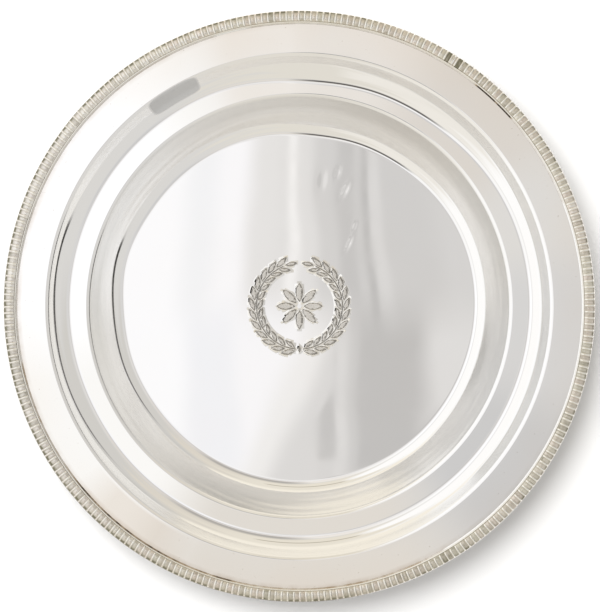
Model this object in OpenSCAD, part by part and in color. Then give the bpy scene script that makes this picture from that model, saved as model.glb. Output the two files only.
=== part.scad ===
// Round stepped salver: a spun sheet-metal dish with a milled border soldered on its brim.
// Millimetres, +Z up. The origin is the centre of the underside, where the salver stands.

/* [Sheet] */
// Thickness of the spun sheet
sheet_t = 1.2; // [0.8:0.1:2]

/* [Well] */
// Radius of the flat floor
floor_r = 91.6; // [60:0.1:120]
// Radius of the cove between the floor and the lower wall
lower_cove_r = 8.3; // [4:0.1:12]
// Slope of the lower wall above the horizontal
lower_wall_angle = 47.5; // [35:0.5:65]
// Straight part of the lower wall, measured across
lower_wall_run = 11; // [4:0.1:16]
// Width of the flat ledge between the two walls
ledge_w = 8.3; // [3:0.1:14]

/* [Rim] */
// Radius of the cove between the ledge and the upper wall
upper_cove_r = 9.55; // [4:0.05:12]
// Slope of the upper wall above the horizontal
upper_wall_angle = 47.5; // [35:0.5:65]
// Straight part of the upper wall, measured across
upper_wall_run = 3.2; // [0.5:0.1:8]
// Radius of the rounded shoulder above each wall
shoulder_r = 2.8; // [2:0.1:5]
// Width of the plain sloping brim
brim_w = 14.35; // [8:0.05:24]
// Slope of the brim above the horizontal
brim_angle = 0.5; // [0:0.5:6]

/* [Border] */
// Width of the level land that carries the border
land_w = 5.25; // [5.05:0.05:5.65]
// Thickness of the solder bed
solder_t = 0.25; // [0.15:0.05:0.4]
// Diameter of the plain bead wire
bead_d = 0.9; // [0.5:0.05:1]
// Width of the milled strip
strip_w = 5.1; // [4.65:0.05:5.15]
// Height of the strip at the crest of its panels
strip_h = 1.35; // [1:0.05:2]
// Fall of the strip's rounded top towards its outer edge
strip_fall = 0.9; // [0.4:0.05:1]
// Height of a rib above the panels
rib_h = 0.35; // [0.15:0.05:0.6]
// Number of cells round the strip
cells = 296; // [120:1:320]
// Share of a cell that the rib takes
rib_share = 0.28; // [0.15:0.01:0.5]
// Direction of the strip's butt joint
joint_angle = 57.9; // [0:0.1:359]
// Gap at the butt joint
joint_gap = 0.5; // [0.3:0.1:1.2]
// Height of the edge wire
edge_wire_h = 1.9; // [1.7:0.1:2.4]
// Width of the edge wire
edge_wire_w = 1.9; // [1.4:0.1:2.4]

/* [Etched ornament] */
// Radius of the wreath's stem
wreath_r = 22.5; // [14:0.5:40]
// Length of a leaf
leaf_l = 7.6; // [4:0.2:12]
// Width of a leaf
leaf_w = 2.7; // [1.2:0.1:5]
// Leaf pairs on each branch
leaf_pairs = 12; // [4:1:16]
// Width of the wreath's stem
stem_w = 0.6; // [0.3:0.1:1]
// Depth of the etching
etch_t = 0.15; // [0.05:0.05:0.4]
// Petals of the rosette
petals = 8; // [5:1:10]
// Length of a petal
petal_l = 10; // [5:0.5:12]
// Width of a petal
petal_w = 3.8; // [1.5:0.1:4]

/* [Hidden] */
$fn = 96;
bend_steps = 12;
bead_facets = 6;

// A bend's centre lies above the sheet in a cove and below it in a shoulder. Every point here is
// on the sheet's upper face.
cove_run_a = lower_cove_r * sin(lower_wall_angle);
cove_rise_a = lower_cove_r * (1 - cos(lower_wall_angle));
shoulder_run_a = shoulder_r * sin(lower_wall_angle);
shoulder_rise_a = shoulder_r * (1 - cos(lower_wall_angle));
cove_run_b = upper_cove_r * sin(upper_wall_angle);
cove_rise_b = upper_cove_r * (1 - cos(upper_wall_angle));
shoulder_run_b = shoulder_r * (sin(upper_wall_angle) - sin(brim_angle));
shoulder_rise_b = shoulder_r * (cos(brim_angle) - cos(upper_wall_angle));

floor_edge = [floor_r, sheet_t];
lower_wall_foot = floor_edge + [cove_run_a, cove_rise_a];
lower_wall_top = lower_wall_foot + lower_wall_run * [1, tan(lower_wall_angle)];
ledge_inner = lower_wall_top + [shoulder_run_a, shoulder_rise_a];
ledge_outer = ledge_inner + [ledge_w, 0];
upper_wall_foot = ledge_outer + [cove_run_b, cove_rise_b];
upper_wall_top = upper_wall_foot + upper_wall_run * [1, tan(upper_wall_angle)];
brim_inner = upper_wall_top + [shoulder_run_b, shoulder_rise_b];
brim_outer = brim_inner + brim_w * [1, tan(brim_angle)];
land_outer = brim_outer + [land_w, 0];

land_z = brim_outer[1];
seat_z = land_z + solder_t;
seam_w = 0.7;
bead_r = brim_outer[0] + seam_w + bead_d / 2;
strip_inner = bead_r + bead_d / 2;
strip_outer = strip_inner + strip_w;
// The strip's crest lies nearer its inner side.
crest_share = 0.4;
crest_r = strip_inner + crest_share * strip_w;
edge_r = land_outer[0] + edge_wire_w;
edge_round = edge_wire_h / 2;
edge_centre = [edge_r - edge_round, seat_z - edge_round];
joint_sweep = joint_gap / crest_r * 180 / PI;
branch_start = -76;
branch_end = 68;
stem_foot = 9;
tip_gap = 11;
leaf_lean = 24;
inner_leaf_share = 0.84;
cell_angle = 360 / cells;
panel_angle = (1 - rib_share) * cell_angle;

function polar(r, a) = [r * cos(a), r * sin(a)];

// A round stretch of the sheet's upper face, as [point, direction of the outward normal]. It starts
// at from, with its slope turning from one angle to another; turn is 1 in a cove, -1 in a shoulder.
function bend(from, r, angle_a, angle_b, turn) =
  let (centre = from + turn * polar(r, angle_a + 90))
    [for (i = [0 : bend_steps])
      let (a = angle_a + (angle_b - angle_a) * i / bend_steps)
        [centre - turn * polar(r, a + 90), a + 90]];

sheet_path = concat(
  [[[0, sheet_t], 90]],
  bend(floor_edge, lower_cove_r, 0, lower_wall_angle, 1),
  bend(lower_wall_top, shoulder_r, lower_wall_angle, 0, -1),
  bend(ledge_outer, upper_cove_r, 0, upper_wall_angle, 1),
  bend(upper_wall_top, shoulder_r, upper_wall_angle, brim_angle, -1),
  [[brim_outer, 90], [land_outer, 90]]
);

// The sheet cut through its middle: the upper face one way, and the lower face back
module sheet_section() {
  upper = [for (p = sheet_path) p[0]];
  lower = [for (p = sheet_path) p[0] - sheet_t * polar(1, p[1])];
  polygon(concat(upper, [for (i = [len(lower) - 1 : -1 : 0]) lower[i]]));
}

module leaf(l, w) {
  arc_r = (l * l / 4 + w * w / 4) / w;
  intersection() {
    translate([0, arc_r - w / 2]) circle(arc_r);
    translate([0, w / 2 - arc_r]) circle(arc_r);
  }
}

// A leaf whose base stands clear of the stem, on its outer side (side = 1) or inner side (-1)
module stem_leaf(along, side, l, w) {
  clear_of_stem = stem_w / 2 + 0.45;
  middle_r = wreath_r + side * (clear_of_stem + l / 2 * sin(leaf_lean));
  translate(polar(middle_r, along))
    rotate(along + 90 - side * leaf_lean)
      leaf(l, w);
}

// The leaves of the right branch, which climbs from the foot of the wreath
module branch_leaves() {
  for (i = [0 : leaf_pairs - 1]) {
    along = branch_start + (branch_end - branch_start) * i / (leaf_pairs - 1);
    stem_leaf(along, 1, leaf_l, leaf_w);
    stem_leaf(along, -1, inner_leaf_share * leaf_l, inner_leaf_share * leaf_w);
  }
  tip = branch_end + tip_gap;
  translate(polar(wreath_r, tip))
    rotate(tip + 90)
      leaf(inner_leaf_share * leaf_l, inner_leaf_share * leaf_w);
}

module rosette() {
  for (i = [0 : petals - 1])
    rotate(i * 360 / petals)
      translate([petal_l * 0.72, 0])
        leaf(petal_l, petal_w);
}

module tie() {
  translate([0, -wreath_r]) rotate(90) leaf(leaf_l / 2, leaf_w / 2);
}

// Everything that the etching takes away, half of it above the floor
module ornament() {
  translate([0, 0, sheet_t - etch_t])
    linear_extrude(2 * etch_t) {
      branch_leaves();
      mirror([1, 0]) branch_leaves();
      rosette();
      tie();
    }
  stem_sweep = branch_end - branch_start + stem_foot;
  for (start = [branch_start - stem_foot, 180 - branch_end])
    rotate([0, 0, start])
      rotate_extrude(angle = stem_sweep)
        translate([wreath_r - stem_w / 2, sheet_t - etch_t])
          square([stem_w, 2 * etch_t]);
}

module body_shell() {
  color("gainsboro")
    difference() {
      rotate_extrude() sheet_section();
      ornament();
    }
}

// The strip's rounded top, raised by lift
function strip_top(lift) =
  [for (u = [0, 0.22, 0.58, 1])
    [strip_inner + u * strip_w,
     seat_z + strip_h + lift - strip_fall * pow((u - crest_share) / (1 - crest_share), 2)]];

module strip_section(lift) {
  polygon(concat([[strip_outer, seat_z], [strip_inner, seat_z]], strip_top(lift)));
}

// All that lies above a panel's top
module above_panel() {
  top = strip_top(0);
  clear_z = seat_z + strip_h + 2 * rib_h;
  polygon(concat(
    [[strip_outer + 1, top[3][1]], [strip_outer + 1, clear_z], [strip_inner - 1, clear_z]],
    [[strip_inner - 1, top[0][1]]],
    top
  ));
}

module border_strip() {
  color("silver")
    rotate([0, 0, joint_angle + joint_sweep / 2])
      difference() {
        rotate_extrude(angle = 360 - joint_sweep) strip_section(rib_h);
        for (i = [0 : cells - 1])
          rotate([0, 0, i * cell_angle - (panel_angle + joint_sweep) / 2])
            rotate_extrude(angle = panel_angle) above_panel();
      }
}

// A wire's section: a straight foot of that height, and a round half above it in flat facets
module bead_section(foot_h) {
  middle = [bead_r, seat_z + foot_h];
  round_half = [for (i = [0 : bead_facets]) middle + polar(bead_d / 2, 180 * i / bead_facets)];
  polygon(concat([[bead_r - bead_d / 2, seat_z], [bead_r + bead_d / 2, seat_z]], round_half));
}

module bead_wire() {
  color("whitesmoke")
    rotate_extrude() bead_section(bead_d / 4);
}

module edge_wire() {
  color("lightgray")
    rotate_extrude() {
      translate([land_outer[0], seat_z - edge_wire_h])
        square([edge_centre[0] - land_outer[0], edge_wire_h]);
      intersection() {
        translate(edge_centre) circle(edge_round);
        translate([edge_centre[0], seat_z - edge_wire_h]) square([edge_round, edge_wire_h]);
      }
    }
}

module solder_bed() {
  color("dimgray")
    rotate_extrude()
      polygon([
        brim_outer,
        land_outer,
        land_outer + [0, solder_t],
        [bead_r - bead_d / 2, seat_z]
      ]);
}

module joint_solder() {
  color("gray")
    rotate([0, 0, joint_angle - joint_sweep / 2])
      rotate_extrude(angle = joint_sweep) strip_section(0);
}

body_shell();
border_strip();
bead_wire();
edge_wire();
solder_bed();
joint_solder();
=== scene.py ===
"""Looks of the round stepped salver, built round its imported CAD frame. +Z is up.

Sizes are given in millimetres and angles in degrees, unless a comment says otherwise. The objects
themselves are in metres."""

import math

import bpy
import numpy as np
from mathutils.geometry import delaunay_2d_cdt
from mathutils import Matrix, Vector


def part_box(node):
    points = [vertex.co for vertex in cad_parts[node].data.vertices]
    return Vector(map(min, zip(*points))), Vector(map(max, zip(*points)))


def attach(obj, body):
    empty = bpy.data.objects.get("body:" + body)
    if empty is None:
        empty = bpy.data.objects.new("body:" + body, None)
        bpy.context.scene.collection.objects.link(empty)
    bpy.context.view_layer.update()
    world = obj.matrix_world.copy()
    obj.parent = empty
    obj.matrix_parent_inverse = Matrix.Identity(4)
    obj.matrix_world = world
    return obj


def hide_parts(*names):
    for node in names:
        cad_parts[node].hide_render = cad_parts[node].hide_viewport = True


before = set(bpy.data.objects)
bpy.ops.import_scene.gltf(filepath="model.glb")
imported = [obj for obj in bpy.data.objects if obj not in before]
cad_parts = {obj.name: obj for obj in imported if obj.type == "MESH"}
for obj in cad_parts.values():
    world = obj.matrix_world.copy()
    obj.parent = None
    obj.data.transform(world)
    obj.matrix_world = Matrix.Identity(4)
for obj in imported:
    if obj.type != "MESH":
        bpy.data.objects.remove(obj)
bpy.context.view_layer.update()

MM = 0.001

# ---------------------------------------------------------------------------
# The sheet's section, in millimetres, as the CAD model has it
# ---------------------------------------------------------------------------
SHEET_T = 1.2
FLOOR_R = 91.6
WALL_ANGLE = 47.5
LOWER_COVE_R = 8.3
LOWER_WALL_RUN = 11.0
SHOULDER_R = 2.8
LEDGE_W = 8.3
UPPER_COVE_R = 9.55
UPPER_WALL_RUN = 3.2
BRIM_W = 14.35
BRIM_ANGLE = 0.5
LAND_W = 5.25
# So the parts end at these radii: floor 91.6, lower cove 97.7, lower wall 108.7, its shoulder 110.8,
# ledge 119.1, upper cove 126.1, upper wall 129.3, its shoulder 131.4, brim 145.7 and land 151.0.
# The radii further down, where a tone or a ripple fades in or out, lie at or near those.

SEGMENTS = 480          # round the axis
PATCH_R = 30.0          # the etched middle of the floor is triangulated inside this radius
UNDERSIDE_DETAIL = 0.35     # rings on the plain underside, as a share of those on top
COVE_LEAD = 0.7         # how much sooner than its arc a cove starts to rise
COVE_POWER = 1.5        # above 1, a cove rises slowly at first

# The border, from the CAD nodes' own boxes
land_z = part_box("body_shell")[1].z / MM
seat_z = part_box("bead_wire")[0].z / MM
bead_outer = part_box("bead_wire")[1].x / MM
strip_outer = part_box("border_strip")[1].x / MM
edge_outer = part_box("edge_wire")[1].x / MM
edge_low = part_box("edge_wire")[0].z / MM
BEAD_D = 0.9
FILLET_W = 0.7          # the solder's hollow fillet, from the brim to the bead
STRIP_H = 1.26
STRIP_FALL = 0.9
CREST_SHARE = 0.4       # how far across the strip its highest line lies
RIB_H = 0.35
RIB_SHARE = 0.28        # the rib's share of a cell
PILLOW_H = 0.11
CELLS = 296
CELL_STEP = 360 / CELLS
RIB_HALF = RIB_SHARE / 2    # a cell is 1 wide: these two are shares of it
PANEL_HALF = 0.5 - RIB_HALF
JOINT_ANGLE = 57.9
JOINT_HALF = 0.28 / 150 * 180 / math.pi     # half the butt joint: 0.28 mm at a radius of 150, in degrees
DULL_SIDE = 200.0       # the side whose outer edge is dullest, in degrees round the axis

# The etched ornament
ETCH_T = 0.06
WREATH_R = 22.5
STEM_W = 0.6
LEAF_L, LEAF_W = 7.6, 2.7
INNER_LEAF = 0.84
LEAF_PAIRS = 12
LEAF_LEAN = 24.0
LEAF_GAP = 0.45         # between a leaf's inner end and the stem
FLOOR_GRID = 1.2        # spacing of the plain points between the outlines
BRANCH_START, BRANCH_END = -76.0, 68.0
STEM_FOOT = 9.0
TIP_GAP = 11.0
PETALS, PETAL_L, PETAL_W = 8, 10.0, 3.8
PETAL_OUT = 0.72        # how far out a petal's middle lies, as a share of its length

# What one bounce off the silver keeps of the light
SILVER = (0.97, 0.96, 0.935)


# ---------------------------------------------------------------------------
# Small helpers
# ---------------------------------------------------------------------------
def make_object(name, verts_mm, faces):
    """A smooth-shaded mesh object from points in millimetres."""
    mesh = bpy.data.meshes.new(name)
    mesh.from_pydata((np.asarray(verts_mm) * MM).tolist(), [], faces)
    mesh.update()
    mesh.polygons.foreach_set("use_smooth", [True] * len(mesh.polygons))
    obj = bpy.data.objects.new(name, mesh)
    bpy.context.scene.collection.objects.link(obj)
    return obj


def point_attribute(obj, name, values):
    layer = obj.data.attributes.new(name, "FLOAT", "POINT")
    layer.data.foreach_set("value", np.asarray(values, np.float32))


def ring_faces(a, b, count):
    """Quads between two rings of vertices that start at a and b."""
    return [(a + j, a + (j + 1) % count, b + (j + 1) % count, b + j) for j in range(count)]


def smooth_step(x, low, high):
    t = np.clip((x - low) / (high - low), 0, 1)
    return t * t * (3 - 2 * t)


def band(r, rise, full, fade, end):
    """0 up to rise, 1 from full to fade, and 0 again from end."""
    return smooth_step(r, rise, full) * (1 - smooth_step(r, fade, end))


# ---------------------------------------------------------------------------
# Hand-worked sheet: slow waves and a few shallow dents, as a height in millimetres
# ---------------------------------------------------------------------------
WAVE_COUNT = 16
WAVE_SLOPE = 0.00025


def make_waves():
    """Waves that cross the sheet: each is (radians per millimetre, direction, height, phase)."""
    rng = np.random.default_rng(7)
    waves = []
    for _ in range(WAVE_COUNT):
        length = rng.uniform(34, 120)
        angle = rng.uniform(0, 2 * math.pi)
        height = WAVE_SLOPE * length / (2 * math.pi)
        waves.append((2 * math.pi / length, angle, height, rng.uniform(0, 6.3)))
    return waves


WAVES = make_waves()
# Shallow dents in the floor: centre x, y, half-width across, half-length, lean, depth
DENTS = [
    (24, 61, 1.3, 3.6, -28, -0.020),
    (20, 70, 1.2, 2.4, -25, -0.012),
    (26, 33, 1.0, 3.4, -24, -0.014),
    (29, 42, 0.9, 2.6, -20, -0.008),
    (12, 66, 2.2, 5.5, -8, -0.012),
]


# Ridges left by the spinning tool: wavelength across, slope, and how they wander round the axis, as
# the number of lobes and where the first one starts
RIDGES = [(2.3, 0.010, 2, 0.4), (3.1, 0.012, 3, 2.0), (4.7, 0.014, 1, 4.4)]


def spun_ridges(x, y, r):
    """Faint ridges round the axis: strongest on the walls, slight on the ledge."""
    turn = np.arctan2(y, x)
    height = 0
    for length, slope, lobes, start in RIDGES:
        wander = 2.2 * np.sin(lobes * turn + start) + 1.3 * np.sin((lobes + 4) * turn + 2 * start)
        height = height + slope * length / (2 * math.pi) * np.sin(2 * math.pi * r / length + wander)
    walls = band(r, 97, 99, 108, 110) + band(r, 124.5, 126.5, 129, 131)
    return height * (walls + 0.12 * band(r, 110, 112, 122, 124))


# Where hand spinning carried a cove outwards (+) or inwards (-), in millimetres: centre and spread
# in degrees round the axis, and amount
LOWER_DRIFT = [
    (20, 22, 0.6),
    (60, 18, -1.5),
    (85, 15, -2.2),
    (135, 22, 0.5),
    (165, 14, 1.9),
    (200, 14, 0.5),
    (215, 20, -0.3),
    (338, 16, -0.3),
]
UPPER_DRIFT = [(25, 15, 0.2), (58, 20, -2.2), (87, 16, -3.0), (208, 16, -0.5), (335, 20, -0.25)]
UPPER_WALL_DRIFT = [(166, 14, 1.7), (196, 24, 1.5)]


def drift(angles, bumps):
    """The sum of smooth bumps round the axis, each (centre, spread, amount), in degrees."""
    total = 0
    for centre, spread, amount in bumps:
        off = (np.degrees(angles) - centre + 180) % 360 - 180
        total = total + amount * np.exp(-(off / spread) ** 2)
    return total


def cove_drift(r, angles):
    """How far the coves stray from true circles at radius r."""
    return (
        band(r, 84, 88, 99, 105) * drift(angles, LOWER_DRIFT)
        + band(r, 112, 115, 121, 125) * drift(angles, UPPER_DRIFT)
        + band(r, 121, 124, 127, 129) * drift(angles, UPPER_WALL_DRIFT)
    )


def wave(x, y):
    """Height of the worked face over the CAD's: full on the floor, less outside it, none at the border."""
    r = np.hypot(x, y)
    w = sum(a * np.sin(k * (x * math.cos(t) + y * math.sin(t)) + p) for k, t, a, p in WAVES)
    w = w + spun_ridges(x, y, r)
    for cx, cy, across, along, lean, depth in DENTS:
        c, s = math.cos(math.radians(lean)), math.sin(math.radians(lean))
        u = (x - cx) * c + (y - cy) * s
        v = -(x - cx) * s + (y - cy) * c
        w = w + depth * np.exp(-(u / across) ** 2 - (v / along) ** 2)
    return w * (1 - 0.55 * smooth_step(r, 88, 98)) * (1 - smooth_step(r, 140, 145))


def wave_gradient(x, y):
    h = 0.05
    gx = (wave(x + h, y) - wave(x - h, y)) / (2 * h)
    gy = (wave(x, y + h) - wave(x, y - h)) / (2 * h)
    return gx, gy


# ---------------------------------------------------------------------------
# Body shell
# ---------------------------------------------------------------------------
RING_ANGLES = 2 * np.pi * np.arange(SEGMENTS) / SEGMENTS
RING_X, RING_Y = np.cos(RING_ANGLES), np.sin(RING_ANGLES)
SILVER_SLOT, ETCHED_SLOT = 0, 1


def sheet_path(start_r, detail):
    """The upper face from start_r outwards: radius, height and slope in radians."""
    rows = []

    def line(r, z, slope, run, count):
        for i in range(1, count + 1):
            rows.append((r + run * i / count, z + run * math.tan(slope) * i / count, slope))
        return r + run, z + run * math.tan(slope)

    def turn(r, z, radius, a, b, count):
        sign = 1 if b > a else -1
        cr, cz = r - sign * radius * math.sin(a), z + sign * radius * math.cos(a)
        for i in range(1, count + 1):
            t = a + (b - a) * i / count
            rows.append((cr + sign * radius * math.sin(t), cz - sign * radius * math.cos(t), t))
        return rows[-1][0], rows[-1][1]

    def steps(n):
        return max(1, round(n * detail))

    wall, brim = math.radians(WALL_ANGLE), math.radians(BRIM_ANGLE)
    rows.append((start_r, SHEET_T, 0.0))
    at = line(start_r, SHEET_T, 0.0, FLOOR_R - start_r - 4, steps((FLOOR_R - start_r) / 2.2))
    at = line(*at, 0.0, 4, steps(8))
    at = turn(*at, LOWER_COVE_R, 0.0, wall, steps(16))
    at = line(*at, wall, LOWER_WALL_RUN, steps(20))
    at = turn(*at, SHOULDER_R, wall, 0.0, steps(9))
    at = line(*at, 0.0, LEDGE_W, steps(16))
    at = turn(*at, UPPER_COVE_R, 0.0, wall, steps(18))
    at = line(*at, wall, UPPER_WALL_RUN, steps(6))
    at = turn(*at, SHOULDER_R, wall, brim, steps(9))
    at = line(*at, brim, BRIM_W, steps(7))
    line(*at, 0.0, LAND_W, steps(3))
    return rows


def worked_slopes():
    """The slope of the worked surface against radius: the same section, with a soft start to each cove."""
    r, _, slope = np.array(sheet_path(PATCH_R, 8.0)).T
    wall = math.radians(WALL_ANGLE)
    lower_run = LOWER_COVE_R * math.sin(wall)
    upper_run = UPPER_COVE_R * math.sin(wall)
    ledge_end = FLOOR_R + lower_run + LOWER_WALL_RUN + SHOULDER_R * math.sin(wall) + LEDGE_W
    for start, run in ((FLOOR_R, lower_run), (ledge_end, upper_run)):
        u = (r - start + COVE_LEAD) / (run + COVE_LEAD)
        cove = (u > 0) & (u < 1)
        slope[cove] = wall * u[cove] ** COVE_POWER
    return r, slope


WORKED_R, WORKED_SLOPE = worked_slopes()


def worked_slope(r, angles):
    """The walls lean back a little more at the front and the left, where they were worked most."""
    slope = np.interp(r - cove_drift(r, angles), WORKED_R, WORKED_SLOPE)
    lower = band(r, 96, 99, 108, 109)
    upper = band(r, 124, 126, 129, 130)
    slope = slope - math.radians(2.8) * lower * drift(angles, [(287, 27, 0.9), (198, 22, 1.0)])
    return slope - math.radians(1.8) * upper * drift(angles, [(285, 40, 0.8), (194, 30, 1.1)])


def lens(cx, cy, turn_deg, length, width, steps=12):
    """Outline of a leaf: two arcs that meet in points."""
    radius = (length ** 2 + width ** 2) / (4 * width)
    half = math.asin(length / 2 / radius)
    drop = radius - width / 2
    a = np.linspace(-half, half, steps + 1)[:-1]
    top = np.stack([radius * np.sin(a), radius * np.cos(a) - drop], 1)
    outline = np.concatenate([top, -top])[::-1]
    c, s = math.cos(math.radians(turn_deg)), math.sin(math.radians(turn_deg))
    return outline @ np.array([[c, s], [-s, c]]) + (cx, cy)


def polar(r, degrees):
    return r * math.cos(math.radians(degrees)), r * math.sin(math.radians(degrees))


def branch():
    """Outlines of the right branch: leaf pairs, tip leaf and stem."""
    outlines = []
    for i in range(LEAF_PAIRS):
        along = BRANCH_START + (BRANCH_END - BRANCH_START) * i / (LEAF_PAIRS - 1)
        for side, share in ((1, 1.0), (-1, INNER_LEAF)):
            reach = STEM_W / 2 + LEAF_GAP + share * LEAF_L / 2 * math.sin(math.radians(LEAF_LEAN))
            x, y = polar(WREATH_R + side * reach, along)
            outlines.append(lens(x, y, along + 90 - side * LEAF_LEAN, share * LEAF_L, share * LEAF_W))
    tip = BRANCH_END + TIP_GAP
    outlines.append(lens(*polar(WREATH_R, tip), tip + 90, INNER_LEAF * LEAF_L, INNER_LEAF * LEAF_W))
    a = np.radians(np.linspace(BRANCH_START - STEM_FOOT, BRANCH_END, 60))
    inner, outer = WREATH_R - STEM_W / 2, WREATH_R + STEM_W / 2
    stem = [(outer * math.cos(t), outer * math.sin(t)) for t in a]
    stem += [(inner * math.cos(t), inner * math.sin(t)) for t in a[::-1]]
    outlines.append(np.array(stem))
    return outlines


def ornament():
    """Outlines of the whole ornament: two branches, the rosette between them and the knot at the foot."""
    right = branch()
    outlines = right + [(o * (-1, 1))[::-1] for o in right]
    for i in range(PETALS):
        turn_deg = i * 360 / PETALS
        outlines.append(lens(*polar(PETAL_OUT * PETAL_L, turn_deg), turn_deg, PETAL_L, PETAL_W))
    outlines.append(lens(0, -WREATH_R, 90, LEAF_L / 2, LEAF_W / 2))
    return outlines


def triangulated_floor():
    """Triangles of the etched middle: 2D points, triangles, and which of them are etched."""
    rim = np.stack([PATCH_R * RING_X, PATCH_R * RING_Y], 1)
    points = [rim]
    loops = [list(range(SEGMENTS))]
    start = SEGMENTS
    for outline in ornament():
        points.append(outline)
        loops.append(list(range(start, start + len(outline))))
        start += len(outline)
    edges_near = np.concatenate(points)
    grid = []
    for k, r in enumerate(np.arange(FLOOR_GRID, PATCH_R - FLOOR_GRID / 2, FLOOR_GRID)):
        count = max(6, round(2 * np.pi * r / 1.3))
        a = 2 * np.pi * (np.arange(count) + 0.5 * (k % 2)) / count
        grid.append(np.stack([r * np.cos(a), r * np.sin(a)], 1))
    grid = np.concatenate(grid)
    gap = np.min(np.hypot(*(grid[:, None, :] - edges_near[None, :, :]).transpose(2, 0, 1)), axis=1)
    points.append(grid[gap > 0.35])
    flat = np.concatenate(points)
    out = delaunay_2d_cdt([tuple(p) for p in flat.tolist()], [], loops, 0, 1e-6, True)
    verts, _, faces, orig_verts, _, orig_faces = out
    return np.array([tuple(v) for v in verts]), faces, orig_verts, orig_faces


def sheet_point(r, z, slope, x_dir, y_dir, lift):
    """A point of the sheet's face, moved by lift along its normal."""
    radial = -np.sin(slope) * lift
    return np.stack([(r + radial) * x_dir, (r + radial) * y_dir, z + np.cos(slope) * lift + 0 * x_dir], -1)


def upper_normals(x, y, slope):
    """Exact normals of the waved upper face."""
    r = np.maximum(np.hypot(x, y), 1e-6)
    cx, cy = x / r, y / r
    gx, gy = wave_gradient(x, y)
    cs, sn = np.cos(slope), np.sin(slope)
    along = (gx * cx + gy * cy) * cs
    around = -gx * cy + gy * cx
    nx = -sn * cx - along * cs * cx + around * cy
    ny = -sn * cy - along * cs * cy - around * cx
    nz = cs - along * sn
    n = np.stack([nx, ny, nz], -1)
    return n / np.linalg.norm(n, axis=-1, keepdims=True)


class SheetMesh:
    """The shell's points, normals and faces, as they are gathered."""

    def __init__(self):
        self.points = []
        self.normals = []
        self.faces = []
        self.slots = []
        self.count = 0

    def add_points(self, points, normals):
        """Adds points, and says which number the first one has."""
        first = self.count
        self.points.append(points)
        self.normals.append(normals)
        self.count += len(points)
        return first

    def add_faces(self, faces, slot=SILVER_SLOT):
        self.faces += faces
        self.slots += [slot] * len(faces)

    def upper_ring(self, r, z, slope):
        x, y = r * RING_X, r * RING_Y
        points = sheet_point(r, z, slope, RING_X, RING_Y, wave(x, y))
        return self.add_points(points, upper_normals(x, y, worked_slope(r, RING_ANGLES)))

    def lower_ring(self, r, z, slope):
        points = sheet_point(r, z, slope, RING_X, RING_Y, -SHEET_T)
        normal = [math.sin(slope) * RING_X, math.sin(slope) * RING_Y, -math.cos(slope) + 0 * RING_X]
        return self.add_points(points, np.stack(normal, -1))


def flipped_ring_faces(a, b):
    """Quads between two rings, turned the other way from ring_faces."""
    return [(p, s, q2, q) for p, q, q2, s in ring_faces(a, b, SEGMENTS)]


def add_sheet(sheet):
    """Both faces of the sheet outside the etched middle. Gives the first ring of each."""
    tops = [sheet.upper_ring(*row) for row in sheet_path(PATCH_R, 1.0)]
    lows = [sheet.lower_ring(*row) for row in sheet_path(PATCH_R, UNDERSIDE_DETAIL)]
    for a, b in zip(tops, tops[1:]):
        sheet.add_faces(flipped_ring_faces(a, b))
    for a, b in zip(lows, lows[1:]):
        sheet.add_faces(ring_faces(a, b, SEGMENTS))
    sheet.add_faces(flipped_ring_faces(tops[-1], lows[-1]))
    return tops[0], lows[0]


def add_underside_middle(sheet, inner):
    """The underside inside its first ring: rings that close on one point."""
    for r in (20.0, 10.0, 3.0):
        ring = sheet.lower_ring(r, SHEET_T, 0.0)
        sheet.add_faces(ring_faces(ring, inner, SEGMENTS))
        inner = ring
    centre = sheet.add_points(np.array([[0, 0, 0]]), np.array([[0, 0, -1]]))
    sheet.add_faces([(centre, inner + (j + 1) % SEGMENTS, inner + j) for j in range(SEGMENTS)])


def add_etched_middle(sheet, rim):
    """The upper face inside its first ring: plain triangles on the face, etched ones sunk below it, and
    a wall round each etched outline. Gives the number of the first wall."""
    flat, triangles, orig_verts, orig_faces = triangulated_floor()
    x, y = flat[:, 0], flat[:, 1]
    lift = wave(x, y)
    level = np.zeros_like(x)
    base = sheet.add_points(np.stack([x, y, SHEET_T + lift], 1), upper_normals(x, y, level))
    plain = {}
    for i, origins in enumerate(orig_verts):
        on_rim = [v for v in origins if v < SEGMENTS]
        plain[i] = rim + on_rim[0] if on_rim else base + i
    # every triangle inside the rim, and whether it lies inside an outline of the ornament too
    inside = [(t, any(f > 0 for f in loops)) for t, loops in zip(triangles, orig_faces) if loops]
    order = sorted({v for triangle, is_etched in inside if is_etched for v in triangle})
    x, y = x[order], y[order]
    points = np.stack([x, y, SHEET_T + lift[order] - ETCH_T], 1)
    sunk_base = sheet.add_points(points, upper_normals(x, y, level[order]))
    sunk = {v: sunk_base + n for n, v in enumerate(order)}
    owner = {}
    for triangle, is_etched in inside:
        corners = sunk if is_etched else plain
        sheet.add_faces([tuple(corners[v] for v in triangle)], ETCHED_SLOT if is_etched else SILVER_SLOT)
        for edge in zip(triangle, (*triangle[1:], triangle[0])):
            owner[edge] = is_etched
    first_wall = len(sheet.faces)
    for (a, b), is_etched in owner.items():
        if is_etched and owner.get((b, a)) is False:
            sheet.add_faces([(sunk[b], plain[b], plain[a], sunk[a])], ETCHED_SLOT)
    return first_wall


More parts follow.
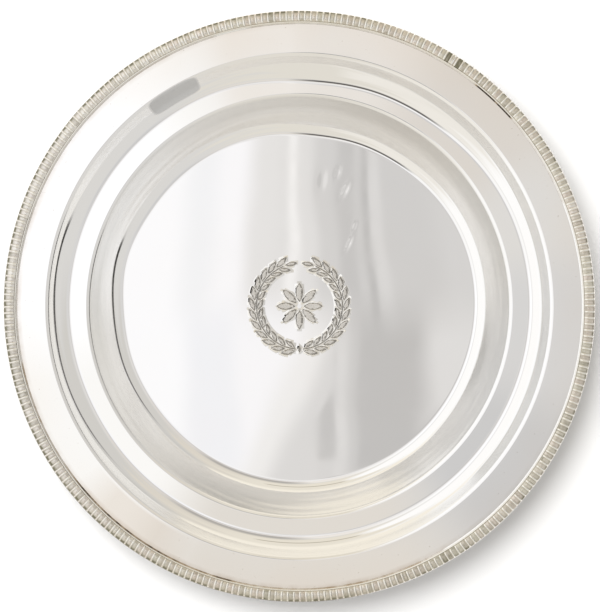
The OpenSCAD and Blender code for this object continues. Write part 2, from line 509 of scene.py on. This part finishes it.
def body_shell(silver, etched):
    sheet = SheetMesh()
    upper_start, lower_start = add_sheet(sheet)
    add_underside_middle(sheet, lower_start)
    first_wall = add_etched_middle(sheet, upper_start)
    obj = make_object("salver_body", np.concatenate(sheet.points), sheet.faces)
    mesh = obj.data
    mesh.materials.append(silver)
    mesh.materials.append(etched)
    mesh.polygons.foreach_set("material_index", sheet.slots)
    corners = np.empty(len(mesh.loops), np.int32)
    mesh.loops.foreach_get("vertex_index", corners)
    split = np.concatenate(sheet.normals)[corners]
    for polygon in list(mesh.polygons)[first_wall:]:
        split[polygon.loop_start:polygon.loop_start + polygon.loop_total] = polygon.normal
    mesh.normals_split_custom_set(split.tolist())
    return obj


# ---------------------------------------------------------------------------
# Border
# ---------------------------------------------------------------------------
def swept_ring(name, section, wobble=0.0, seed=1, segments=SEGMENTS, start=0.0, sweep=360.0):
    """A closed section of (radius, height) points carried round the axis, in and out by the wobble."""
    rng = np.random.default_rng(seed)
    closed = sweep >= 360
    count = segments if closed else segments + 1
    angles = np.radians(start + sweep * np.arange(count) / segments)
    shift = sum(
        wobble / 3 * np.sin(k * angles + rng.uniform(0, 6.3)) for k in (5, 9, 14, 23, 37)
    )
    section = np.array(section)
    verts = np.concatenate([
        np.stack([(r + shift) * np.cos(angles), (r + shift) * np.sin(angles), z + 0 * angles], 1)
        for r, z in section
    ])
    faces = []
    for i in range(len(section)):
        a, b = i * count, (i + 1) % len(section) * count
        for j in range(count if closed else count - 1):
            k = (j + 1) % count
            faces.append((a + j, a + k, b + k, b + j))
    if not closed:
        faces.append([i * count for i in range(len(section))][::-1])
        faces.append([i * count + count - 1 for i in range(len(section))])
    return make_object(name, verts, faces)


def arc_points(cr, cz, radius, a, b, steps):
    t = np.radians(np.linspace(a, b, steps))
    return [(cr + radius * math.cos(x), cz + radius * math.sin(x)) for x in t]


def strip_top(u):
    """Height of the strip over its seat without ribs and pillows."""
    return STRIP_H - STRIP_FALL * ((u - CREST_SHARE) / (1 - CREST_SHARE)) ** 2


def cell_grime(rng):
    """How dark each cell of the border is: a slow drift, a scatter, and the dirty cells by the joint.
    Cells are counted from the joint."""
    cell = np.arange(CELLS + 2)
    turn = 2 * np.pi * cell / CELLS
    grime = 0.07 + 0.04 * np.sin(3 * turn + 1.0) + 0.03 * np.sin(7 * turn + 4.0)
    grime += rng.normal(0, 0.05, CELLS + 2)
    grime -= 0.07 * np.cos(turn - math.radians(82))
    grime += drift(turn, [(170, 24, 0.09), (242, 24, -0.06)])
    grime[[1, CELLS - 1]] += 0.6
    # a few single cells that are dirtier or cleaner than those beside them
    grime[[134, 199]] += 0.25
    grime[[173, 191, 200]] += 0.2
    grime[95] -= 0.25
    return np.clip(grime, -0.1, 1.0)


def strip_stations():
    """Where the strip's cross-sections stand: the angle from the joint in degrees, and the place in the
    cell, where 0 is the middle of a panel and 0.5 the middle of a rib."""
    half = [0.0, 0.12, 0.24, 0.31, PANEL_HALF - 0.02, PANEL_HALF + 0.03, 0.44, 0.5]
    places = [-s for s in half[:0:-1]] + half[:-1]
    stations = [
        ((i + s) * CELL_STEP, s)
        for i in range(CELLS + 1)
        for s in places
        if JOINT_HALF < (i + s) * CELL_STEP < 360 - JOINT_HALF
    ]
    joint_place = JOINT_HALF / CELL_STEP
    stations = [(JOINT_HALF, joint_place)] + stations + [(360 - JOINT_HALF, joint_place)]
    angles, places = np.array(stations).T
    return angles, np.abs(places)


def strip_height(u, s, cell_lift):
    """Height of the strip over its seat: u runs across it from 0 to 1, s is the place in the cell."""
    end = np.clip(min(u / 0.10, (1 - u) / 0.12), 0, 1)
    pillow_across = 1 - np.clip(s / PANEL_HALF, 0, 1) ** 2
    pillow = (PILLOW_H * pillow_across ** 0.8 + 0.02) * math.sin(end * math.pi / 2) ** 0.8 - 0.08
    inner_end = math.sin(min(1, u / 0.06) * math.pi / 2)
    outer_end = math.sin(min(1, (1 - u) / 0.05) * math.pi / 2)
    crown = 1 - 0.18 * ((s - 0.5) / RIB_HALF) ** 2
    rib = RIB_H * inner_end * outer_end * crown
    on_rib = rib_share(s)
    return strip_top(u) + (1 - on_rib) * (pillow + cell_lift) + on_rib * rib


def rib_share(s):
    """1 on a rib, 0 on a panel."""
    return smooth_step(s, PANEL_HALF - 0.02, PANEL_HALF + 0.035)


def border_strip():
    """The milled strip: 296 cells of a narrow rib and a sunk pillow, open at its butt joint."""
    width = strip_outer - bead_outer
    # rows from its inner edge to its outer edge; the first and the last are the feet of its two sides
    u_rows = np.array([0.0, 0.0, 0.03, 0.08, 0.16, 0.28, 0.42, 0.58, 0.74, 0.86, 0.94, 0.985, 1.0, 1.0])
    from_joint, s = strip_stations()
    angles = np.radians(from_joint + JOINT_ANGLE)
    cell = np.round((np.degrees(angles) - JOINT_ANGLE) / CELL_STEP).astype(int)

    # what differs from cell to cell: height, grime, stains at both ends, a dark line and the hue
    rng = np.random.default_rng(3)
    cell_lift = rng.normal(0, 0.012, CELLS + 2)[cell]
    grime = cell_grime(rng)[cell]
    blob_in, blob_out = rng.uniform(0.0, 0.45, (2, CELLS + 2))[:, cell]
    line_at = rng.uniform(0.10, 0.26, CELLS + 2)[cell]
    line_dark = rng.uniform(0.0, 0.35, CELLS + 2)[cell]
    hue = rng.uniform(0, 1, CELLS + 2)[cell]
    dull_side = 0.3 * smooth_step(np.cos(angles - math.radians(DULL_SIDE - 35)), -0.2, 0.4)

    def tarnish_and_shade_at(u):
        """Tarnish lies beside the ribs and at the panels' ends, and thickest on the dull side. Painted shade
        darkens the outer part at the front.
        """
        sides = 0.22 * smooth_step(s, 0.16, PANEL_HALF)
        sides = sides + line_dark * np.exp(-((s - line_at) / 0.05) ** 2)
        ends = blob_in * math.exp(-((u - 0.12) / 0.09) ** 2)
        ends = ends + (0.12 + blob_out + dull_side) * math.exp(-((u - 0.94) / 0.12) ** 2)
        outer_half = dull_side * smooth_step(u, 0.42, 0.9)
        inner_half = dull_side * (1 - smooth_step(u, 0.15, 0.5))
        panel = 0.16 + grime + np.maximum(sides, ends) + 0.7 * outer_half - 0.35 * inner_half
        crest = 0.25 * grime + 0.9 * outer_half
        # painted shade on the outer part of the strip at the front
        front_shade = 0.3 * drift(angles, [(272, 17, 1.0)]) * smooth_step(u, 0.25, 1.0)
        return (1 - rib_share(s)) * panel + rib_share(s) * crest + front_shade

    verts = []
    for row, u in enumerate(u_rows):
        r = bead_outer + u * width
        on_top = 0 < row < len(u_rows) - 1
        height = strip_height(u, s, cell_lift) if on_top else np.zeros_like(s)
        verts.append(np.stack([r * np.cos(angles), r * np.sin(angles), seat_z + height], 1))
    count = len(angles)
    faces = []
    for i in range(len(u_rows)):
        a, b = i * count, (i + 1) % len(u_rows) * count
        faces += [(a + j + 1, b + j + 1, b + j, a + j) for j in range(count - 1)]
    faces.append([i * count for i in range(len(u_rows))][::-1])
    faces.append([i * count + count - 1 for i in range(len(u_rows))])
    obj = make_object("milled_border", np.concatenate(verts), faces)
    # the tarnish attribute holds the painted shade at the front as well
    point_attribute(obj, "tarnish", np.concatenate([tarnish_and_shade_at(u) for u in u_rows]))
    point_attribute(obj, "hue", np.tile(hue, len(u_rows)))
    return obj


def joint_solder():
    """The solder that fills the gap between the strip's two ends."""
    inner, width = bead_outer, strip_outer - bead_outer
    top = [(inner + u * width, seat_z + strip_top(u) - 0.05) for u in np.linspace(0.02, 0.98, 8)]
    section = [(inner + 0.02 * width, seat_z), *top, (inner + 0.98 * width, seat_z)]
    start = JOINT_ANGLE - JOINT_HALF
    return swept_ring("joint_solder_fill", section, segments=2, start=start, sweep=2 * JOINT_HALF)


def bead_wire():
    radius = BEAD_D / 2
    centre = bead_outer - radius
    top = arc_points(centre, seat_z + radius / 2, radius, 0, 180, 11)
    section = [(bead_outer, seat_z), *top, (bead_outer - BEAD_D, seat_z)]
    return swept_ring("bead_wire_ring", section)


def edge_wire():
    height = seat_z - edge_low
    radius = height / 2
    centre = edge_outer - radius
    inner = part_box("body_shell")[1].x / MM
    outer = arc_points(centre - 0.04, edge_low + radius, radius, -90, 90, 13)
    section = [(inner, edge_low), *outer, (inner, seat_z)]
    return swept_ring("edge_wire_ring", section, wobble=0.035, seed=5)


# Stained arcs of the solder line: where each starts and ends, in degrees, and how dark it is
STAINS = [
    (42.5, 50.5, 1.0),
    (22, 100, 0.2),
    (108, 190, 0.22),
    (192, 300, 0.42),
    (218, 256, 0.25),
]


def solder_bed():
    """The solder under the border. Its fillet along the bead is stained dark here and there."""
    inner = bead_outer - BEAD_D
    land_inner = inner - FILLET_W
    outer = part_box("body_shell")[1].x / MM
    foot_z = land_z + 0.01
    fillet = [(land_inner + FILLET_W * u, foot_z + (seat_z - foot_z) * u * u) for u in np.linspace(0, 1, 6)]
    section = [*fillet, (outer, seat_z), (outer, land_z), (land_inner + 0.2, land_z)]
    obj = swept_ring("solder_line", section)
    angles = 360 * np.arange(SEGMENTS) / SEGMENTS
    stain = np.zeros(SEGMENTS)
    for start, end, amount in STAINS:
        stain += amount * band(angles, start - 1.2, start, end, end + 1.2)
    point_attribute(obj, "stain", np.tile(stain, len(section)))
    return obj


# ---------------------------------------------------------------------------
# Node trees
# ---------------------------------------------------------------------------
class NodeTree:
    """Shorthand for building a node tree. Each kind of tree sets place, the coordinates of its noise."""

    def __init__(self, tree):
        self.tree = tree
        self.place = None

    def add(self, kind, **settings):
        node = self.tree.nodes.new(kind)
        for key, value in settings.items():
            setattr(node, key, value)
        return node

    def put(self, socket, value):
        """Links a socket to another one, or sets it to a number or a colour."""
        if isinstance(value, bpy.types.NodeSocket):
            self.tree.links.new(value, socket)
        else:
            socket.default_value = value

    def split(self, vector):
        node = self.add("ShaderNodeSeparateXYZ")
        self.put(node.inputs[0], vector)
        return node.outputs

    def maths(self, operation, *values, clamp=False):
        node = self.add("ShaderNodeMath", operation=operation, use_clamp=clamp)
        for socket, value in zip(node.inputs, values):
            self.put(socket, value)
        return node.outputs[0]

    def times(self, first, *others):
        for other in others:
            first = self.maths("MULTIPLY", first, other)
        return first

    def plus(self, a, b):
        return self.maths("ADD", a, b)

    def minus(self, a, b):
        return self.maths("SUBTRACT", a, b)

    def absolute(self, value):
        return self.maths("ABSOLUTE", value)

    def degrees_round(self, x, y):
        """Degrees round the axis, from -180 to 180."""
        return self.times(self.maths("ARCTAN2", y, x), 180 / math.pi)

    def noise(self, scale, detail=3.0, roughness=0.5):
        node = self.add("ShaderNodeTexNoise")
        self.put(node.inputs["Vector"], self.place)
        node.inputs["Scale"].default_value = scale
        node.inputs["Detail"].default_value = detail
        node.inputs["Roughness"].default_value = roughness
        return node.outputs["Fac"]

    def remap(self, value, low, high, new_low, new_high, interpolation="LINEAR"):
        node = self.add("ShaderNodeMapRange", interpolation_type=interpolation)
        names = ("Value", "From Min", "From Max", "To Min", "To Max")
        for name, number in zip(names, (value, low, high, new_low, new_high)):
            self.put(node.inputs[name], number)
        return node.outputs["Result"]

    def mix(self, factor, a, b):
        node = self.add("ShaderNodeMix", data_type="RGBA")
        for name, value in (("Factor", factor), ("A", a), ("B", b)):
            self.put(node.inputs[name], value)
        return node.outputs["Result"]


# ---------------------------------------------------------------------------
# Materials
# ---------------------------------------------------------------------------
class MaterialNodes(NodeTree):
    """One material. x and y are metres in the salver's own frame, and radii are millimetres."""

    def __init__(self, name, metallic):
        self.material = bpy.data.materials.new(name)
        self.material.use_nodes = True
        super().__init__(self.material.node_tree)
        self.shader = self.tree.nodes["Principled BSDF"]
        self.set("Metallic", metallic)
        self.place = self.add("ShaderNodeTexCoord").outputs["Object"]
        self.x, self.y, _ = self.split(self.place)

    def set(self, name, value):
        self.put(self.shader.inputs[name], value)

    def attribute(self, name):
        return self.add("ShaderNodeAttribute", attribute_name=name).outputs["Fac"]

    def bump(self, height, strength, distance):
        node = self.add("ShaderNodeBump")
        node.inputs["Strength"].default_value = strength
        node.inputs["Distance"].default_value = distance
        self.put(node.inputs["Height"], height)
        self.set("Normal", node.outputs["Normal"])

    def radius(self):
        squares = self.plus(self.times(self.x, self.x), self.times(self.y, self.y))
        return self.times(self.maths("SQRT", squares), 1000.0)

    def towards(self, x_share, y_share):
        """How far the surface lies out in one direction."""
        return self.plus(self.times(self.x, x_share), self.times(self.y, y_share))

    def band(self, value, rise, full, fade, end):
        """0 up to rise, 1 from full to fade, and 0 again from end."""
        return self.times(self.remap(value, rise, full, 0, 1), self.remap(value, fade, end, 1, 0))

    def patch(self, direction, half_turn, radius, half_width):
        """1 inside a rounded patch, given by degrees round the axis and millimetres from it."""
        turned = self.minus(self.degrees_round(self.x, self.y), direction)
        across = self.maths("POWER", self.absolute(self.maths("DIVIDE", turned, half_turn)), 5.0)
        outwards = self.minus(self.radius(), radius)
        along = self.maths("POWER", self.absolute(self.maths("DIVIDE", outwards, half_width)), 5.0)
        return self.remap(self.plus(across, along), 0.75, 1.25, 1, 0)


def rgb(r, g, b):
    return (r, g, b, 1.0)


def silver_material():
    """Polished plate: near-mirror on the flats, a little hazier on the spun walls, with a warm bloom
    and small specks of tarnish towards the border."""
    m = MaterialNodes("silver_sheet", 1.0)
    r = m.radius()
    bloom = m.times(m.remap(r, 128, 145, 0.25, 1.0), m.remap(m.noise(24), 0.3, 0.7, 0.3, 1.0))
    colour = m.mix(bloom, rgb(*SILVER), rgb(0.955, 0.915, 0.86))
    speck = m.times(m.remap(m.noise(640, 2), 0.72, 0.76, 0, 1), m.remap(r, 126, 140, 0.03, 0.35))
    colour = m.mix(speck, colour, rgb(0.55, 0.48, 0.38))

    # a greyish-beige tone on the upper part of the lower wall, heavier towards the back: a painted reflection
    # of the well's far side
    back = m.towards(-0.25, 0.97)
    painted_wall_reflection = m.times(m.band(r, 100.5, 105, 108.6, 110), m.remap(back, -0.07, 0.02, 0.1, 1.0))
    colour = m.mix(painted_wall_reflection, colour, rgb(0.815, 0.80, 0.765))

    # a warm stain on the brim at the front left
    off = m.absolute(m.minus(m.degrees_round(m.x, m.y), -128.0))
    stain = m.times(m.remap(off, 6, 14, 1, 0), m.remap(r, 131, 133, 0, 1))
    colour = m.mix(stain, colour, rgb(0.84, 0.785, 0.715))

    # grime along the bead, in uneven blotches, clean at the right
    near_bead = m.remap(r, 143.4, 145.8, 0, 1)
    blotch = m.remap(m.noise(75, 4, 0.6), 0.38, 0.66, 0.12, 0.6)
    dirty_side = m.remap(m.towards(-0.8, -0.6), -0.10, 0.05, 0.0, 1.0)
    colour = m.mix(m.times(near_bead, blotch, dirty_side), colour, rgb(0.56, 0.45, 0.34))

    # a dull rounded patch on the upper wall at the back left
    patch = m.patch(120.7, 6.4, 126.9, 3.9)
    colour = m.mix(m.times(patch, 0.85), colour, rgb(0.66, 0.66, 0.66))

    # both walls are whiter on the right, a little towards the front
    walls = m.plus(m.band(r, 95, 98, 108, 111), m.band(r, 124, 127, 129, 131.5))
    whiter_walls = m.times(walls, m.remap(m.towards(0.906, -0.423), 0.085, 0.112, 0, 1))
    colour = m.mix(whiter_walls, colour, rgb(0.985, 0.985, 0.985))
    m.set("Base Color", colour)

    # hazier on the walls, at the top of both walls on the left, and on the dull patch
    haze = m.remap(m.noise(60), 0.35, 0.7, 0.018, 0.032)
    haze = m.plus(haze, m.times(walls, 0.10))
    tops = m.plus(m.band(r, 107.6, 108.6, 110.5, 111), m.band(r, 128.6, 129.4, 131, 131.5))
    haze = m.plus(haze, m.times(tops, m.remap(m.x, -0.03, -0.07, 0, 1), 0.06))
    m.set("Roughness", m.plus(haze, m.times(patch, 0.4)))
    return m.material


def wire_material():
    """Plain wire, polished on top and dulled with tan tarnish round the outside of the salver, with painted
    shade on its outside at the front.
    """
    m = MaterialNodes("silver_wire", 1.0)
    uneven = m.remap(m.noise(90), 0.3, 0.7, 0.85, 1.0)
    outside = m.times(m.remap(m.radius(), 150.6, 151.4, 0, 1), uneven)
    side = m.towards(math.cos(math.radians(DULL_SIDE)), math.sin(math.radians(DULL_SIDE)))
    dull_and_shade = m.mix(m.remap(side, 0.0, 0.06, 0, 1), rgb(0.76, 0.73, 0.70), rgb(0.38, 0.355, 0.315))
    # painted shade: the outside is darkest at the front, from y = -147.5 mm outwards
    dull_and_shade = m.mix(m.remap(m.y, -0.1475, -0.1505, 0, 1), dull_and_shade, rgb(0.22, 0.20, 0.165))
    bead = m.mix(m.remap(m.x, 0.05, -0.05, 0, 1), rgb(0.95, 0.92, 0.85), rgb(0.895, 0.865, 0.795))
    m.set("Base Color", m.mix(outside, bead, dull_and_shade))
    m.set("Roughness", m.remap(outside, 0, 1, 0.12, 0.35))
    return m.material


def etched_material():
    """Frosted metal of the etching: matte and finely grained."""
    m = MaterialNodes("etched_silver", 1.0)
    grain = m.noise(2600, 4, 0.65)
    shade = m.plus(m.times(grain, 0.6), m.times(m.noise(160), 0.4))
    colour = m.mix(m.remap(shade, 0.35, 0.65, 0, 1), rgb(0.70, 0.67, 0.625), rgb(0.835, 0.81, 0.765))
    m.set("Base Color", colour)
    m.set("Roughness", 0.5)
    m.bump(grain, 0.3, 0.0001)
    return m.material


def milled_material():
    """Silver ribs and pillows, with tan to olive-grey tarnish lying in the recesses, and painted shade on the
    outer part at the front.
    """
    m = MaterialNodes("milled_silver", 1.0)
    patch = m.remap(m.noise(420, 4, 0.6), 0.3, 0.7, 0.75, 1.3)
    # the tarnish attribute also holds painted shade at the front
    amount = m.maths("MULTIPLY", m.attribute("tarnish"), patch, clamp=True)
    tan = m.mix(m.attribute("hue"), rgb(0.81, 0.725, 0.635), rgb(0.785, 0.745, 0.63))
    tan = m.mix(m.remap(m.x, -0.06, -0.13, 0, 0.7), tan, rgb(0.825, 0.785, 0.735))
    light = m.mix(m.remap(amount, 0.0, 0.25, 0, 1), rgb(0.96, 0.935, 0.86), tan)
    m.set("Base Color", m.mix(m.remap(amount, 0.25, 1.0, 0, 1), light, rgb(0.25, 0.235, 0.165)))
    m.set("Roughness", m.remap(amount, 0, 1, 0.14, 0.5))
    return m.material


def solder_material():
    """Wiped solder: bright where it was burnished, with a near-black stain where dirt sits along the bead."""
    m = MaterialNodes("soft_solder", 1.0)
    patch = m.remap(m.noise(150, 4, 0.6), 0.35, 0.65, 0.6, 1.5)
    amount = m.maths("MULTIPLY", m.attribute("stain"), patch, clamp=True)
    light = m.mix(m.remap(amount, 0, 0.6, 0, 1), rgb(0.96, 0.945, 0.91), rgb(0.50, 0.40, 0.29))
    m.set("Base Color", m.mix(m.remap(amount, 0.6, 1.0, 0, 1), light, rgb(0.07, 0.055, 0.04)))
    m.set("Roughness", m.remap(amount, 0, 1, 0.14, 0.4))
    return m.material


# ---------------------------------------------------------------------------
# Stage, light and camera
# ---------------------------------------------------------------------------
def table_top():
    """A plain pale table, 8 m wide."""
    half = 4000.0
    corners = [(-half, -half, 0), (half, -half, 0), (half, half, 0), (-half, half, 0)]
    obj = make_object("table_top", corners, [(0, 1, 2, 3)])
    m = MaterialNodes("pale_table", 0.0)
    m.set("Base Color", rgb(0.82, 0.82, 0.82))
    m.set("Roughness", 0.9)
    m.set("Specular IOR Level", 0.1)
    obj.data.materials.append(m.material)


def display(value):
    """Linear light that shows as this display value."""
    return value / 12.92 if value <= 0.04045 else ((value + 0.055) / 1.055) ** 2.4


def seen(red, green, blue):
    """Light that shows as this display colour in one bounce off the silver."""
    return tuple(display(c) / t for c, t in zip((red, green, blue), SILVER)) + (1.0,)


class WorldNodes(NodeTree):
    """The studio round the salver, by direction as seen from it."""

    def __init__(self, tree):
        super().__init__(tree)
        self.place = self.add("ShaderNodeTexCoord").outputs["Generated"]
        self.x, self.y, self.z = self.split(self.place)
        self.from_zenith = self.times(self.maths("ARCCOSINE", self.z), 180 / math.pi)
        self.azimuth = self.degrees_round(self.x, self.y)

    def ramp(self, value, low, high):
        """0 at low, 1 at high, smooth between."""
        return self.remap(value, low, high, 0.0, 1.0, "SMOOTHSTEP")

    def sector(self, centre, half, soft, direction=None):
        """1 within half degrees of a compass direction, falling to 0 over soft degrees."""
        turned = self.minus(direction or self.azimuth, centre)
        return self.ramp(self.absolute(self.maths("WRAP", turned, 180, -180)), half + soft, half)

    def paint(self, colour, tone, *amounts):
        """Lays a tone over the colour, as far as the amounts multiplied together say."""
        return self.mix(self.times(*amounts), colour, seen(*tone))

    def strips(self, position, colour, steps):
        """Strips side by side: each step is (where it starts, how soft its edge is, its tone)."""
        for edge, soft, tone in steps:
            colour = self.paint(colour, tone, self.ramp(position, edge - soft, edge + soft))
        return colour


def grey(v):
    """A slightly warm grey."""
    return (v, v - 0.008, v - 0.016)


# Broad fields all round: compass direction, half-width and softness in degrees, tone, and whether the
# field lies high (near overhead) or low
FIELDS = [
    (322, 8, 16, (0.80, 0.797, 0.795), "high"),
    (322, 30, 20, (0.85, 0.843, 0.83), "low"),
    (24, 7, 14, (0.87, 0.86, 0.845), "high"),
    (28, 16, 18, (0.815, 0.805, 0.785), "low"),
    (52, 12, 16, (0.86, 0.838, 0.81), "high"),
    (62, 8, 16, (0.855, 0.83, 0.785), "low"),
    (90, 16, 20, (0.91, 0.89, 0.865), "high"),
    (94, 16, 20, (0.905, 0.88, 0.825), "low"),
    (264, 26, 22, (0.88, 0.86, 0.83), "high"),
    (266, 16, 24, (0.88, 0.863, 0.825), "low"),
    (232, 12, 18, (0.93, 0.915, 0.885), "low"),
    (112, 18, 3, (0.955, 0.948, 0.94), "high"),
    (100, 4, 12, (0.93, 0.91, 0.885), "high"),
    (168, 44, 18, (1.0, 0.996, 0.99), "low"),
    (158, 30, 26, (0.99, 0.985, 0.975), "high"),
    (196, 24, 5, (0.99, 0.985, 0.975), "high"),
    (168, 28, 24, (1.02, 1.022, 1.03), "high"),
    (214, 14, 22, (0.985, 0.98, 0.97), "high"),
]
WHITE = (0.99, 0.988, 0.992)

# Soft strips overhead, side by side from left to right: where each starts and how soft its edge is, in
# milliradians from the zenith, and its tone
BACK_STRIPS = [
    (-44, 5, (0.955, 0.955, 0.96)),
    (-33, 5, (0.98, 0.975, 0.98)),
    (-19, 5, grey(0.90)),
    (-8.5, 2.5, grey(0.885)),
    (-4.8, 1.2, grey(0.965)),
    (-1.6, 1.2, grey(0.885)),
    (5.5, 2.5, grey(0.83)),
    (14, 2, grey(0.78)),
    (20.5, 1.2, grey(0.82)),
    (24.3, 1.0, grey(0.745)),
    (27.4, 0.9, grey(0.86)),
    (33, 2, grey(0.815)),
    (50, 6, grey(0.835)),
]
FRONT_LEFT_STRIPS = [(-39, 5, (0.95, 0.95, 0.96)), (-22, 4, (0.975, 0.97, 0.975))]
LEANING_STRIPS = [(-7, 5, grey(0.94)), (4, 5, grey(0.86))]
FRONT_RIGHT_STRIPS = [
    (12.8, 1.0, grey(0.87)),
    (17, 1.6, grey(0.81)),
    (20.5, 1.0, grey(0.76)),
    (43, 4, grey(0.875)),
]


def paint_fields(n):
    """The broad fields over plain grey. Gives the colour, and the direction that the fields follow."""
    heights = {"low": n.ramp(n.from_zenith, 8, 20), "high": n.ramp(n.from_zenith, 14, 8)}
    # lower down the fields' edges wander
    lean = n.times(n.minus(n.noise(2.4, 2.0), 0.5), 70.0)
    wandering = n.plus(n.azimuth, n.times(lean, heights["low"]))
    colour = seen(0.84, 0.835, 0.83)
    for centre, half, soft, tone, where in FIELDS:
        colour = n.paint(colour, tone, n.sector(centre, half, soft, wandering), heights[where])
    return colour, wandering


def paint_overhead(n, colour):
    """Strips straight overhead: one set towards the back, one towards the front."""
    across = n.times(n.maths("DIVIDE", n.x, n.z), 1000.0)
    along = n.times(n.maths("DIVIDE", n.y, n.z), 1000.0)
    spread = n.plus(1.0, n.times(along, 0.0035))
    back = n.strips(n.times(across, spread), seen(*WHITE), BACK_STRIPS)

    forward = n.times(along, -1.0)
    leaning = n.plus(across, n.times(n.minus(forward, 24.0), 0.42))
    front = n.strips(across, seen(*WHITE), FRONT_LEFT_STRIPS)
    front = n.strips(leaning, front, LEANING_STRIPS)
    # one strip that steps to the left and turns darker further to the front
    drop = n.plus(across, n.times(n.ramp(forward, 25, 40), 6.0))
    drop_tone = n.mix(n.ramp(forward, 52, 55), seen(*grey(0.775)), seen(*grey(0.85)))
    front = n.mix(n.ramp(drop, 11.2, 13.4), front, drop_tone)
    front = n.strips(across, front, FRONT_RIGHT_STRIPS)

    overhead = n.mix(n.ramp(along, -14, 8), front, back)
    return n.mix(n.ramp(n.from_zenith, 4.05, 3.5), colour, overhead)


def paint_rail(n, colour):
    """A dark rail low on the right: level at first, then climbing and thinning towards the back."""
    past = n.maths("WRAP", n.minus(n.azimuth, -21.0), 270, -90)
    share = n.times(n.maths("MAXIMUM", past, 0.0), 1 / 62)
    middle = n.minus(74.0, n.times(share, share, 10.0))
    half_high = n.minus(9.5, n.times(share, 5.5))
    off = n.maths("DIVIDE", n.absolute(n.minus(n.from_zenith, middle)), half_high)
    rail = n.times(n.ramp(off, 1.15, 0.8), n.ramp(past, -1.0, 2.0), n.ramp(past, 66, 50))
    dark = n.mix(share, seen(0.14, 0.135, 0.13), seen(0.50, 0.49, 0.48))
    return n.mix(rail, colour, dark)


def studio_world():
    """A studio seen in the silver: a wide white screen on the left, warm fill before and behind,
    neutral grey on the right, soft strips overhead, and a dark rail low on the right."""
    world = bpy.data.worlds.new("studio")
    bpy.context.scene.world = world
    world.use_nodes = True
    n = WorldNodes(world.node_tree)
    zenith = n.from_zenith
    colour, wandering = paint_fields(n)
    colour = paint_overhead(n, colour)

    # a dark arm reaching in from the front, near overhead
    arm = n.times(n.ramp(zenith, 4.9, 6), n.ramp(zenith, 16, 10))
    colour = n.paint(colour, (0.36, 0.35, 0.34), arm, n.sector(251, 14, 9))

    # lower down
    near_floor = n.ramp(zenith, 58, 72)
    for centre, half, soft, tone in (
        (24, 28, 16, (0.79, 0.78, 0.76)),
        (96, 24, 18, (0.96, 0.935, 0.88)),
        (20, 5, 12, (0.87, 0.86, 0.85)),
    ):
        colour = n.paint(colour, tone, near_floor, n.sector(centre, half, soft, wandering))
    horizon = n.ramp(zenith, 76, 84)
    colour = n.paint(colour, (0.82, 0.81, 0.785), horizon, n.sector(190, 46, 16, wandering))

    # a plain bar at the back: near overhead it shows dark, and again as a thin tan line further down
    bar = n.times(n.ramp(zenith, 4.9, 6), n.ramp(zenith, 24, 9))
    colour = n.paint(colour, (0.48, 0.46, 0.44), bar, n.sector(74, 10, 12), 0.6)
    line = n.times(n.ramp(zenith, 34, 37), n.ramp(zenith, 41, 38))
    colour = n.paint(colour, (0.55, 0.50, 0.40), line, n.sector(92, 11, 3), 0.7)

    # a pale band along the horizon at the right
    colour = n.paint(colour, (0.93, 0.92, 0.90), n.ramp(zenith, 82.5, 84.5), n.sector(12, 40, 12))
    background = n.tree.nodes["Background"]
    n.put(background.inputs["Color"], paint_rail(n, colour))
    background.inputs["Strength"].default_value = 1.0


def key_light():
    """A large soft lamp above and behind to the left. It lights the table and gives the shadow."""
    data = bpy.data.lights.new("key", "AREA")
    data.shape = "DISK"
    data.size = 1.5
    data.energy = 40
    obj = bpy.data.objects.new("key", data)
    bpy.context.scene.collection.objects.link(obj)
    obj.location = (-0.60, 0.72, 1.80)
    obj.rotation_euler = (-obj.location).to_track_quat("-Z", "Y").to_euler()
    obj.visible_glossy = False
    obj.visible_camera = False


def overhead_camera():
    """Straight above the centre; the salver fills the picture."""
    data = bpy.data.cameras.new("overhead")
    obj = bpy.data.objects.new("overhead", data)
    bpy.context.scene.collection.objects.link(obj)
    bpy.context.scene.camera = obj
    height = 1.5            # over the rim
    margin = 1.03353        # the picture's height at the rim, over the salver's width
    view_high = margin * 2 * edge_outer * MM
    data.sensor_width = 36
    data.lens = data.sensor_width / view_high * height
    obj.location = (0.0003, 0.0001, seat_z * MM + height)
    data.clip_end = 50


def main():
    silver = silver_material()
    wire = wire_material()
    etched = etched_material()
    milled = milled_material()
    solder = solder_material()

    pieces = [
        (body_shell(silver, etched), "body_shell", "silver_sheet", None),
        (border_strip(), "border_strip", "milled_silver", milled),
        (bead_wire(), "bead_wire", "silver_wire", wire),
        (edge_wire(), "edge_wire", "silver_wire", wire),
        (solder_bed(), "solder_bed", "soft_solder", solder),
        (joint_solder(), "joint_solder", "soft_solder", solder),
    ]
    for piece, node, slot, material in pieces:
        if material:
            piece.data.materials.append(material)
        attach(piece, "root")
        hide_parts(node)
    table_top()
    studio_world()
    key_light()
    overhead_camera()
    bpy.context.scene.view_settings.view_transform = "Standard"


main()
